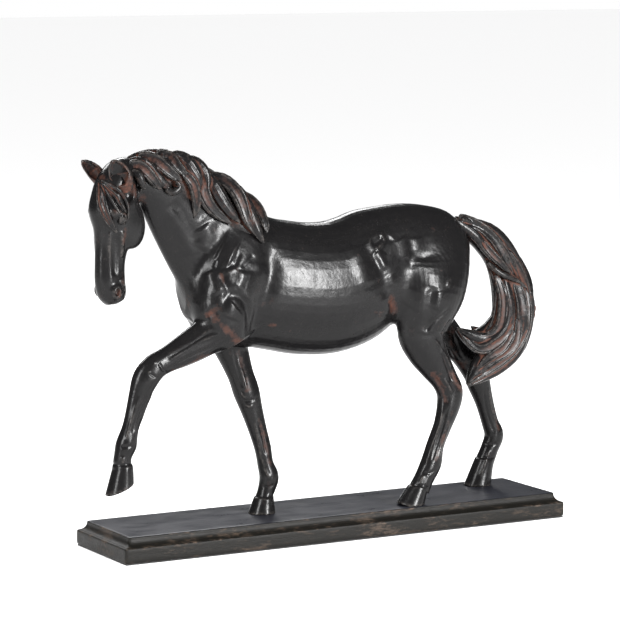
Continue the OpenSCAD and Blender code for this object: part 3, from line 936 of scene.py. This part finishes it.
tail_locks = [
    ([(124, -8, 243), (138, -11, 234), (147, -13, 225), (154, -14, 211)], 5),
    ([(130, -7, 246), (146, -12, 238), (160, -14, 226), (171, -16, 209), (180, -16, 195)], 5.5),
    ([(130, -5, 244), (153, -9, 234), (169, -11, 219), (180, -13, 203), (189, -11, 187)], 5),
    ([(128, -2, 244), (156, -4, 235), (171, -5, 222), (182, -6, 207), (191, -6, 191)], 5),
    ([(178, -8, 214), (190, -9, 196), (197, -8, 180), (199, -8, 164), (196, -9, 148)], 5.5),
    ([(148, -12, 225), (157, -15, 213), (166, -17, 204), (177, -17, 194)], 4.5),
    ([(156, -13, 205), (164, -18, 196), (180, -19, 189), (197, -12, 180)], 3),
    ([(158, -9, 207), (163, -12, 195), (166, -14, 181), (165, -15, 166), (161, -15, 152),
      (152, -13, 142)], 5.5),
    ([(163, -15, 194), (167, -18, 177), (167, -19, 162), (164, -19, 149), (156, -18, 142),
      (145, -15, 140)], 5),
    ([(171, -16, 190), (174, -19, 174), (175, -20, 159), (170, -20, 146), (158, -19, 136),
      (145, -16, 133)], 5.5),
    ([(182, -16, 189), (187, -18, 171), (188, -19, 156), (190, -18, 144), (182, -18, 130)], 7),
    ([(195, -9, 182), (198, -12, 164), (196, -14, 147), (191, -15, 137), (181, -16, 125),
      (166, -17, 115), (150, -17, 107), (134, -15, 98)], 5),
    ([(198, -6, 176), (200, -7, 160), (197, -9, 139), (188, -11, 122), (171, -13, 110),
      (154, -14, 103), (137, -14, 97)], 5),
    ([(184, -18, 156), (183, -19, 140), (175, -20, 128), (160, -19, 119), (142, -16, 106)], 5.5),
    ([(176, -19, 158), (172, -20, 143), (160, -19, 134), (148, -17, 129), (138, -13, 134),
      (130, -8, 146)], 5.5),
    ([(167, -17, 145), (154, -16, 138), (141, -13, 141), (127, -8, 148)], 5.5),
    ([(179, -19, 144), (168, -20, 130), (154, -19, 122), (143, -16, 112)], 5),
]


def make_mane():
    clay = Clay((-208, -36, 228), (-64, 6, 324), hair_step)
    clay.loft(mane_core, blend=0)
    for i, (path, width) in enumerate(mane_locks):
        lock(clay, path, width, hollow=1.3 if i % 2 else 0)
    return hair_piece(clay)


def make_tail():
    clay = Clay((118, -28, 90), (210, 14, 254), hair_step)
    clay.loft(tail_core, blend=0)
    clay.loft(tail_point, blend=4)
    for i, (path, width) in enumerate(tail_locks):
        lock(clay, path, width, hollow=1.5 if i % 3 else 0)
    # the off side has the same locks, drawn about the tail's own middle line
    for path, width in tail_locks:
        away = []
        for x, y, z in path:
            fall = min(max((250 - z) / 50, 0), 1)
            away.append((x + fall * (10 + 0.15 * (175 - x)), -12 - y, z))
        lock(clay, away, width, hollow=1.3, out=(0, 1, 0))
    return hair_piece(clay)


forelock_locks = [
    ([(-221, -21, 290), (-222, -27, 282), (-222, -31, 273), (-219, -33, 262), (-212, -34, 250)], 2.3),
    ([(-220, -20, 291), (-224, -25, 283), (-225, -28, 273), (-221, -31, 261), (-213, -34, 249)], 2.2),
    ([(-219, -22, 291), (-213, -29, 286), (-206, -32, 279), (-202, -34, 270), (-202, -34, 261)], 2.2),
    ([(-219, -23, 289), (-214, -30, 281), (-210, -34, 274), (-205, -35, 267)], 1.7),
    ([(-220, -22, 290), (-218, -29, 281), (-215, -33, 272), (-211, -36, 266)], 1.6),
]


def make_forelock():
    clay = Clay((-238, -44, 240), (-190, -4, 308), hair_step * 0.8)
    for i, (path, width) in enumerate(forelock_locks):
        lock(clay, settle(path, 0.9), width, thick=2.4, hollow=0.7 * (i % 2),
             out=(-0.6, -0.75, 0.15))
    return hair_piece(clay, 1.4)


def make_ear(base, middle, tip, out, width):
    """A pricked ear: a leaf, hollowed on the side that out points to."""
    base = np.array(base, float)
    middle = np.array(middle, float)
    tip = np.array(tip, float)
    out = np.array(out, float) / np.linalg.norm(out)
    low = np.minimum(base, tip) - 14
    high = np.maximum(base, tip) + 14
    clay = Clay(low, high, hair_step * 0.7)
    rows = polyline([base, middle, tip], 4)
    t = np.linspace(0, 1, len(rows))
    wide = width * np.interp(t, [0, 0.2, 0.45, 0.7, 0.9, 1], [0.75, 0.95, 1, 0.8, 0.42, 0.1])
    deep = np.interp(t, [0, 0.2, 0.5, 0.8, 1], [5, 5.4, 4.6, 3, 0.8])
    clay.loft(np.column_stack([rows, wide, wide, deep]), blend=0, steps=1, sides=28, across=out)
    inner = rows[2:-1] + out * 2.6
    t = np.linspace(0, 1, len(inner))
    wide = width * np.interp(t, [0, 0.4, 0.8, 1], [0.42, 0.8, 0.6, 0.24])
    deep = np.interp(t, [0, 0.4, 1], [3.2, 4.1, 1.8])
    clay.loft(np.column_stack([inner, wide, wide, deep]), blend=0.8, steps=1, sides=28,
              across=out, carve=True)
    piece = hair_piece(clay, 1.4)
    inside = np.clip(in_front(piece["points"], rows, out) + 0.3, 0, 3) / 3
    piece["attributes"]["rust"] = 0.2 + 0.6 * inside
    return piece


def in_front(points, rows, out):
    """How far each point lies in front of an ear's middle line, seen from its open side."""
    nearest = ((points[:, None, :] - rows[None, :, :]) ** 2).sum(2).argmin(1)
    return ((points - rows[nearest]) * out).sum(1)


# ---------------------------------------------------------------- plinth
# Half of the moulding in section, from the top face out and down to the foot: how far in
# from the slab's side, and how far below the top face.
cove = 6.5


def plinth_section():
    """Rows (inset, drop): lip, hollow cove, slab side, foot, and the way back in underneath."""
    height = (plinth_high[2] - plinth_low[2]) * 1000 / unit
    rows = [(16, 0.0), (9.5, 0.0), (8.0, 0.05), (7.3, 0.2), (6.8, 0.55), (cove, 1.1), (cove, 1.6)]
    for degrees in (78, 64, 50, 36, 24, 15):
        t = math.radians(degrees)
        rows.append((cove * math.sin(t), 1.5 + cove * math.cos(t)))
    rows += [(1.55, 8.1), (1.2, 8.05), (0.6, 8.3), (0.2, 8.8), (0.03, 9.6), (0.0, 11), (0.0, 14),
             (0.0, 17), (0.05, height - 1.8), (0.3, height - 0.9), (0.9, height - 0.25),
             (1.7, height), (cove + 4, height), (cove + 4, 5.0)]
    return rows


def rounded_rectangle(half_x, half_y, radius, spacing):
    """Points round a rectangle with rounded corners, all rings having the same count."""
    rows = []
    straight_x = int(plinth_length * 1000 / unit / spacing)
    straight_y = int(plinth_width * 1000 / unit / spacing)
    corners = [(1, -1, -90), (1, 1, 0), (-1, 1, 90), (-1, -1, 180)]
    for i, (sx, sy, start) in enumerate(corners):
        for j in range(5):
            a = math.radians(start + 90 * j / 4)
            rows.append((
                sx * (half_x - radius) + radius * math.cos(a),
                sy * (half_y - radius) + radius * math.sin(a),
            ))
        nx, ny, turn = corners[(i + 1) % 4]
        a = math.radians(turn)
        end = (nx * (half_x - radius) + radius * math.cos(a),
               ny * (half_y - radius) + radius * math.sin(a))
        count = straight_y if i % 2 == 0 else straight_x
        x0, y0 = rows[-1]
        for j in range(1, count):
            t = j / count
            rows.append((x0 + t * (end[0] - x0), y0 + t * (end[1] - y0)))
    return np.array(rows)


def make_plinth():
    """The moulded rings, closed by the top face and by the ceiling of the hollow underneath."""
    section = plinth_section()
    half_x = plinth_length * 500 / unit
    half_y = plinth_width * 500 / unit
    rings = []
    worn = []
    side = []
    for inset, drop in section:
        ring = rounded_rectangle(half_x - inset, half_y - inset, 2.0, 3.0)
        rings.append(np.column_stack([ring, np.full(len(ring), -drop)]))
        on_edge = math.exp(-((drop - 1.0) / 0.8) ** 2) + math.exp(-((drop - 8.8) / 1.0) ** 2)
        worn.append(np.full(len(ring), -0.3 * on_edge))
        # side is 1 on the moulded sides and 0 on the top face; the material uses it for rubbing,
        # roughness and the painted reflection that lightens the top
        side.append(np.full(len(ring), 1.0 if drop > 0.3 else 0.0))
    points = np.vstack(rings)
    count = len(rings[0])
    # the casting is not quite true: its sides and edges wander a little
    x, y, z = points[:, 0], points[:, 1], points[:, 2]
    wander = (
        np.sin(0.11 * x + 0.5 * z) + np.sin(0.27 * x + 1.3 + 0.9 * z) * 0.6
        + np.sin(0.19 * y + 0.7 * z) + np.sin(0.83 * x + 2.1 * z) * 0.35
    )
    outer = np.exp(-((z + 8) / 7) ** 2)
    points[:, 1] -= np.sign(y) * np.abs(wander) * 0.05 * outer
    points[:, 0] -= np.sign(x) * np.abs(wander) * 0.03 * outer
    i, k = np.meshgrid(np.arange(len(rings) - 1), np.arange(count), indexing="ij")
    a = i * count + k
    b = i * count + (k + 1) % count
    quads = np.stack([a, a + count, b + count, b], -1).reshape(-1, 4)
    top = np.mean(rings[0], axis=0)
    ceiling = np.mean(rings[-1], axis=0)
    size = len(points)
    points = np.vstack([points, top, ceiling])
    k = np.arange(count)
    base = (len(rings) - 1) * count
    tris = np.vstack([
        np.stack([np.full(count, size), k, (k + 1) % count], -1),
        np.stack([np.full(count, size + 1), base + (k + 1) % count, base + k], -1),
    ])
    data = {
        "hollow": np.concatenate(worn + [np.zeros(2)]),
        "rust": np.zeros(size + 2),
        "side": np.concatenate(side + [np.zeros(2)]),
    }
    return {"points": points, "quads": quads, "tris": tris, "attributes": data}


# ---------------------------------------------------------------- materials
class Shader:
    """A new material. A socket's value is a number, a colour or another node's output."""

    def __init__(self, name):
        self.material = bpy.data.materials.new(name)
        self.material.use_nodes = True
        self.nodes = self.material.node_tree.nodes
        self.links = self.material.node_tree.links
        self.surface = self.nodes["Principled BSDF"]
        self.place = self.nodes.new("ShaderNodeTexCoord").outputs["Object"]

    def put(self, socket, value):
        if isinstance(value, (int, float)):
            socket.default_value = value
        elif isinstance(value, tuple):
            socket.default_value = value + (1.0,)
        else:
            self.links.new(value, socket)

    def set(self, key, value):
        self.put(self.surface.inputs[key], value)

    def attribute(self, key):
        node = self.nodes.new("ShaderNodeAttribute")
        node.attribute_type = "GEOMETRY"
        node.attribute_name = key
        return node.outputs["Fac"]

    def stretched(self, scale):
        node = self.nodes.new("ShaderNodeMapping")
        node.inputs["Scale"].default_value = scale
        self.links.new(self.place, node.inputs["Vector"])
        return node.outputs["Vector"]

    def noise(self, scale, detail, rough, source=None):
        node = self.nodes.new("ShaderNodeTexNoise")
        node.inputs["Scale"].default_value = scale
        node.inputs["Detail"].default_value = detail
        node.inputs["Roughness"].default_value = rough
        self.links.new(self.place if source is None else source, node.inputs["Vector"])
        return node.outputs["Fac"]

    def ramp(self, source, low, high, to_low=0.0, to_high=1.0):
        node = self.nodes.new("ShaderNodeMapRange")
        node.clamp = True
        node.inputs["From Min"].default_value = low
        node.inputs["From Max"].default_value = high
        node.inputs["To Min"].default_value = to_low
        node.inputs["To Max"].default_value = to_high
        self.links.new(source, node.inputs["Value"])
        return node.outputs["Result"]

    def maths(self, kind, *values, clamp=False):
        node = self.nodes.new("ShaderNodeMath")
        node.operation = kind
        node.use_clamp = clamp
        for socket, value in zip(node.inputs, values):
            self.put(socket, value)
        return node.outputs[0]

    def mix(self, factor, first, second):
        node = self.nodes.new("ShaderNodeMix")
        node.data_type = "RGBA"
        self.links.new(factor, node.inputs["Factor"])
        self.put(node.inputs["A"], first)
        self.put(node.inputs["B"], second)
        return node.outputs["Result"]

    def bump(self, height, strength, distance):
        node = self.nodes.new("ShaderNodeBump")
        self.put(node.inputs["Strength"], strength)
        node.inputs["Distance"].default_value = distance
        self.links.new(height, node.inputs["Height"])
        self.set("Normal", node.outputs["Normal"])


def bronze_material(name, brown_from, brown_to):
    """Black patina over bronze: reddish brown in the hollows, greyer where it is rubbed."""
    shader = Shader(name)
    hollow = shader.attribute("hollow")
    rust = shader.attribute("rust")
    cloud = shader.noise(110.0, 6.0, 0.7)
    fine = shader.noise(420.0, 4.0, 0.6)
    wobble = shader.maths("SUBTRACT", cloud, 0.5)
    crease = shader.maths("ADD", hollow, shader.maths("MULTIPLY", wobble, 0.12))
    crease = shader.ramp(crease, brown_from, brown_to)
    patch = shader.maths("ADD", rust, shader.maths("MULTIPLY", wobble, 2.4))
    patch = shader.ramp(patch, 0.35, 1.1, 0.0, 0.9)
    brown = shader.maths("MAXIMUM", crease, patch)
    speck = shader.ramp(fine, 0.35, 0.6, 0.55, 1.0)
    brown = shader.maths("MULTIPLY", brown, speck, clamp=True)
    worn = shader.ramp(hollow, -0.08, -0.25)
    worn = shader.maths("MULTIPLY", worn, shader.ramp(fine, 0.4, 0.62))
    dark = shader.mix(cloud, (0.003, 0.003, 0.0033), (0.007, 0.0065, 0.0065))
    rubbed = shader.mix(worn, dark, (0.03, 0.027, 0.025))
    tint = shader.mix(fine, (0.012, 0.005, 0.0035), (0.085, 0.033, 0.021))
    shader.set("Base Color", shader.mix(brown, rubbed, tint))
    rough = shader.maths("MULTIPLY_ADD", brown, 0.4, 0.23)
    shader.set("Roughness", shader.maths("ADD", rough, shader.ramp(cloud, 0.3, 0.7, -0.03, 0.06)))
    shader.set("IOR", 1.24)
    swell = shader.noise(150.0, 3.0, 0.55)
    shader.bump(shader.maths("ADD", swell, shader.maths("MULTIPLY", fine, 0.35)), 0.35, 0.0006)
    return shader.material


def plinth_material():
    """Smooth satin black on top, painted lighter and bluer than the sides as a painted reflection of
    the pale surroundings; the moulded sides are rougher, with brown and grey rubbing.
    """
    shader = Shader("plinth_bronze")
    along = shader.stretched((0.3, 0.6, 1.0))
    side = shader.attribute("side")
    edge = shader.attribute("hollow")
    streak = shader.noise(520.0, 6.0, 0.75, along)
    patch = shader.noise(90.0, 4.0, 0.6, along)
    fine = shader.noise(900.0, 4.0, 0.65)
    rubbing = shader.ramp(shader.maths("MULTIPLY", streak, patch), 0.27, 0.42)
    rubbing = shader.maths("MULTIPLY", rubbing, shader.ramp(edge, -0.05, -0.3, 0.3, 0.8))
    rubbing = shader.maths("MULTIPLY", rubbing, side, clamp=True)
    # painted reflection: the top gets a lighter, bluer colour than the darker sides, standing in for
    # the pale surroundings reflected at a grazing angle; the brown and grey rubbing on the sides is
    # real wear
    top = shader.mix(patch, (0.009, 0.0095, 0.013), (0.02, 0.0205, 0.026))
    flank = shader.mix(streak, (0.002, 0.002, 0.0018), (0.007, 0.006, 0.0045))
    dark = shader.mix(side, top, flank)
    rubbed = shader.mix(fine, (0.05, 0.03, 0.02), (0.21, 0.15, 0.11))
    shader.set("Base Color", shader.mix(rubbing, dark, rubbed))
    rough = shader.maths("MULTIPLY_ADD", side, 0.12, 0.3)
    shader.set("Roughness", shader.maths("ADD", rough, shader.ramp(patch, 0.3, 0.7, -0.04, 0.1)))
    shader.set("IOR", 1.25)
    height = shader.maths("ADD", streak, shader.maths("MULTIPLY", fine, 0.4))
    shader.bump(height, shader.maths("MULTIPLY_ADD", side, 0.5, 0.08), 0.0006)
    return shader.material


def steel_material():
    shader = Shader("plain_steel")
    lines = shader.noise(3000.0, 3.0, 0.6, shader.stretched((0.2, 0.2, 1.0)))
    stain = shader.noise(160.0, 5.0, 0.6)
    shader.set("Base Color", shader.mix(stain, (0.42, 0.41, 0.4), (0.62, 0.62, 0.63)))
    shader.set("Roughness", shader.ramp(stain, 0.3, 0.7, 0.28, 0.46))
    shader.set("Metallic", 1.0)
    shader.bump(lines, 0.25, 0.0001)
    return shader.material


def board_material():
    shader = Shader("fibreboard")
    fibres = shader.noise(1400.0, 6.0, 0.7)
    light = shader.mix(shader.noise(70.0, 4.0, 0.6), (0.30, 0.19, 0.10), (0.42, 0.28, 0.16))
    shader.set("Base Color", shader.mix(fibres, (0.16, 0.09, 0.045), light))
    shader.set("Roughness", shader.ramp(fibres, 0.3, 0.7, 0.75, 0.92))
    shader.bump(fibres, 0.4, 0.0002)
    return shader.material


def baize_material():
    shader = Shader("black_baize")
    nap = shader.noise(2200.0, 5.0, 0.7)
    light = shader.mix(shader.noise(60.0, 4.0, 0.6), (0.012, 0.012, 0.013), (0.022, 0.021, 0.02))
    shader.set("Base Color", shader.mix(nap, (0.004, 0.004, 0.004), light))
    shader.set("Roughness", shader.ramp(nap, 0.3, 0.7, 0.85, 1.0))
    shader.set("Sheen Weight", 0.1)
    shader.set("Sheen Roughness", 0.5)
    shader.bump(nap, 0.6, 0.0004)
    return shader.material


def floor_material():
    shader = Shader("floor")
    shader.set("Base Color", (0.93, 0.93, 0.93))
    shader.set("Roughness", 0.9)
    return shader.material


def assign(obj, mat):
    obj.data.materials.clear()
    obj.data.materials.append(mat)


# ---------------------------------------------------------------- stage
def make_stage():
    """A pale floor, and a white world whose reflection is kept dim."""
    world = bpy.data.worlds.new("studio")
    world.use_nodes = True
    nodes = world.node_tree.nodes
    links = world.node_tree.links
    nodes.clear()
    out = nodes.new("ShaderNodeOutputWorld")
    path = nodes.new("ShaderNodeLightPath")

    def glow(colour, strength):
        node = nodes.new("ShaderNodeBackground")
        node.inputs["Color"].default_value = colour + (1,)
        node.inputs["Strength"].default_value = strength
        return node.outputs[0]

    def choose(factor, first, second):
        node = nodes.new("ShaderNodeMixShader")
        links.new(path.outputs[factor], node.inputs[0])
        links.new(first, node.inputs[1])
        links.new(second, node.inputs[2])
        return node.outputs[0]

    soft = choose("Is Glossy Ray", glow((1, 1, 1), 1.1), glow((0.9, 0.95, 1.0), 0.09))
    links.new(choose("Is Camera Ray", soft, glow((1, 1, 1), 1.0)), out.inputs[0])
    bpy.context.scene.world = world
    bpy.ops.mesh.primitive_plane_add(size=30.0, location=(0, 0, 0))
    floor = bpy.context.active_object
    floor.name = "floor"
    assign(floor, floor_material())


def area_light(name, place, aim, size, power):
    data = bpy.data.lights.new(name, "AREA")
    data.shape = "RECTANGLE"
    data.size = size[0]
    data.size_y = size[1]
    data.energy = power
    lamp = bpy.data.objects.new(name, data)
    lamp.location = place
    away = Vector(place) - Vector(aim)
    lamp.rotation_euler = away.to_track_quat("Z", "Y").to_euler()
    bpy.context.scene.collection.objects.link(lamp)


make_stage()
bpy.context.scene.view_settings.view_transform = "Standard"
area_light("front", (0.64, -1.9, 0.66), (0, 0, 0.2), (0.13, 0.8), 90)
area_light("left", (-1.7, -0.9, 0.9), (-0.1, 0, 0.22), (0.35, 1.2), 50)
area_light("back", (0.2, 1.6, 1.3), (0, 0, 0.2), (1.8, 0.4), 35)

bronze = bronze_material("black_bronze", 0.22, 0.5)
hair_bronze = bronze_material("black_bronze", 0.22, 0.5)
hair_bronze = bronze_material("hair_bronze", 0.0, 0.12)
skin, pieces = make_skin()
for label, piece in pieces.items():
    obj = build_object(label + "_casting", **piece)
    assign(obj, bronze)
    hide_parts(str(label))

hair_parts = {
    "mane": make_mane(),
    "tail": make_tail(),
    "forelock": make_forelock(),
    "near_ear": make_ear((-205, -28, 284), (-209, -31, 297), (-216, -31, 310),
                         (-0.6, -0.8, 0.0), 10),
    "off_ear": make_ear((-211, -5, 288), (-219, -2, 299), (-229, 0, 308),
                        (-0.5, -0.85, -0.15), 6.8),
}
for label, piece in hair_parts.items():
    obj = build_object(label + "_casting", **piece)
    assign(obj, hair_bronze)
    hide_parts(label)

plinth = build_object("plinth_casting", **make_plinth())
assign(plinth, plinth_material())
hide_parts("plinth")

hidden_materials = {
    "base_board": board_material(),
    "baize_cover": baize_material(),
    "core_plug": bronze,
}
steel = steel_material()
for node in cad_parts:
    owner = bpy.data.objects.get(node)
    if owner is not None and owner.type == "MESH":
        assign(owner, hidden_materials.get(node, steel))
